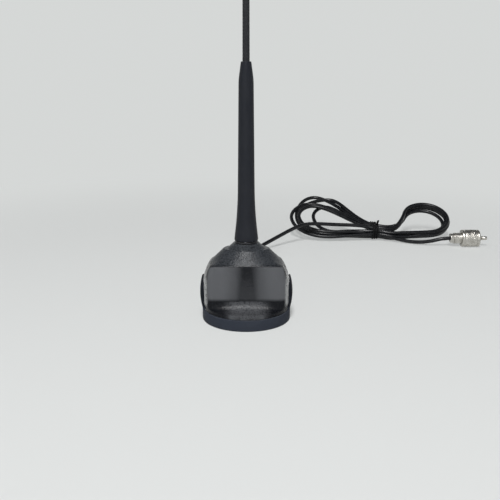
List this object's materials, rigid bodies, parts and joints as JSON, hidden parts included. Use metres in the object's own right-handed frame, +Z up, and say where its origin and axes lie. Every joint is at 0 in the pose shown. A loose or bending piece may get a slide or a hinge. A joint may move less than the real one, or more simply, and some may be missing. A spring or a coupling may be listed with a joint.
{
  "type": "magnetic-mount cb antenna",
  "caption": "Mobile radio antenna: tapered mast and slender whip on a moulded magnetic base with a rubber boot, its thin coax lead tied in a hank and ending in a screw-on plug.",
  "frame": {"origin": "centre of the base's underside", "axes": "+Z up the mast, the front panel faces -Y and the lead leaves towards +Y"},
  "size_m": [0.2968, 0.3479, 0.4484],
  "materials": {
    "boot_rubber": "smooth black rubber",
    "housing_plastic": "spark-grained black moulding",
    "mast_plastic": "satin black moulding",
    "whip_plastic": "ribbed charcoal sleeve",
    "plated_metal": "bright nickel plate",
    "brass": "turned brass",
    "ferrite": "sintered ferrite",
    "plate_steel": "zinc plated steel",
    "copper": "enamelled copper",
    "former_plastic": "natural moulding",
    "fibreglass": "pultruded rod",
    "cable_jacket": "satin black jacket",
    "tie_plastic": "black coated wire",
    "insulator": "white insulator"
  },
  "bodies": {
    "antenna": {"braid_wire": "copper", "cable_gland": "boot_rubber", "cable_hank": "cable_jacket", "centre_wire": "copper", "coil_former": "former_plastic", "ground_tag": "plated_metal", "housing": "housing_plastic", "lead_cable": "cable_jacket", "loading_coil": "copper", "mast_insert": "brass", "mast_stud": "brass", "mast_tube": "mast_plastic", "neck_washer": "plated_metal", "plate_screws": "plate_steel", "plug_body": "plated_metal", "plug_insulator": "insulator", "plug_pin": "plated_metal", "plug_reducer": "plated_metal", "pole_plate": "plate_steel", "ring_magnet": "ferrite", "rubber_boot": "boot_rubber", "solder_tag": "plated_metal", "stud_nut": "brass", "tail_cable": "cable_jacket", "twist_tie": "tie_plastic", "whip_ferrule": "brass", "whip_rod": "fibreglass", "whip_sleeve": "whip_plastic", "whip_tip": "mast_plastic"},
    "coupling_sleeve": {"plug_sleeve": "plated_metal"}
  },
  "joints": [
    {"name": "sleeve_spin", "type": "hinge", "parent": "antenna", "child": "coupling_sleeve", "pos_m": [0.24, 0.223, 0.0092], "axis": [1, 0, 0], "continuous": true}
  ]
}
